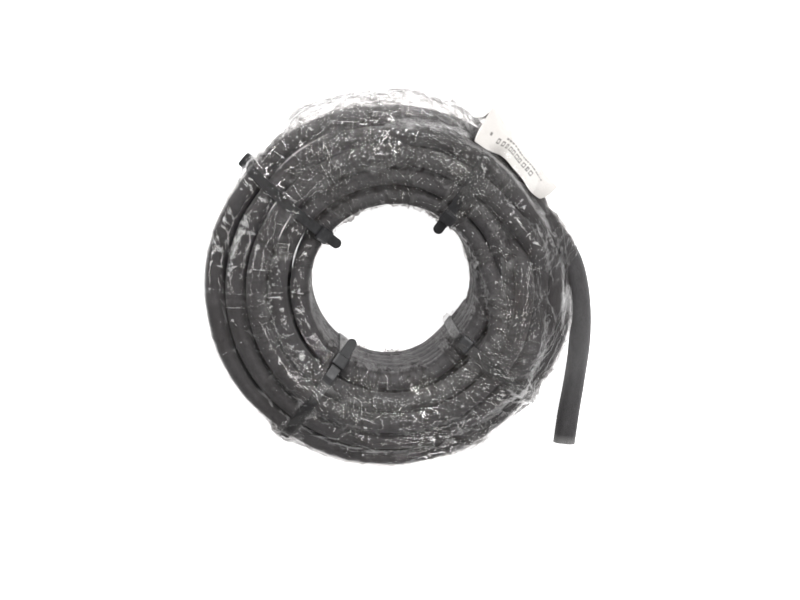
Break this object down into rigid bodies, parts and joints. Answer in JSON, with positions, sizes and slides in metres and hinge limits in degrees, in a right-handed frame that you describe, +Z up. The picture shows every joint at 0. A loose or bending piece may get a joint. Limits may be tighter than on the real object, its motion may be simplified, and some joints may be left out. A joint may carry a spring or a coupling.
{
  "type": "soaker hose coil",
  "caption": "Bare porous soaker hose wound in a flat round coil, held by cable ties, wrapped in clear stretch film, with one free end and a blank label.",
  "frame": {"origin": "middle of the whole footprint, coil and free end together, on the floor it lies on", "axes": "+Z up along the coil's axis; +X towards the side where the free end lies; the free end's mouth faces -Y"},
  "size_m": [0.352, 0.3334, 0.1335],
  "materials": {
    "hose": "soft matte, fine lengthwise drawing lines",
    "hose_cut_end": "matte, sawn across",
    "tie": "moulded nylon",
    "film": "clear stretch film, wrinkled",
    "label": "white paper"
  },
  "bodies": {
    "root": {"hose_coil": "hose", "hose_inner_end": "hose_cut_end", "hose_tail": "hose", "hose_tail_end": "hose_cut_end", "tie_1_outer": "tie", "tie_1_inner": "tie", "tie_2_outer": "tie", "tie_2_inner": "tie", "tie_3_outer": "tie", "tie_3_inner": "tie", "tie_4_outer": "tie", "tie_4_inner": "tie", "film_wrap": "film", "film_base": "film", "label": "label"}
  },
  "joints": []
}
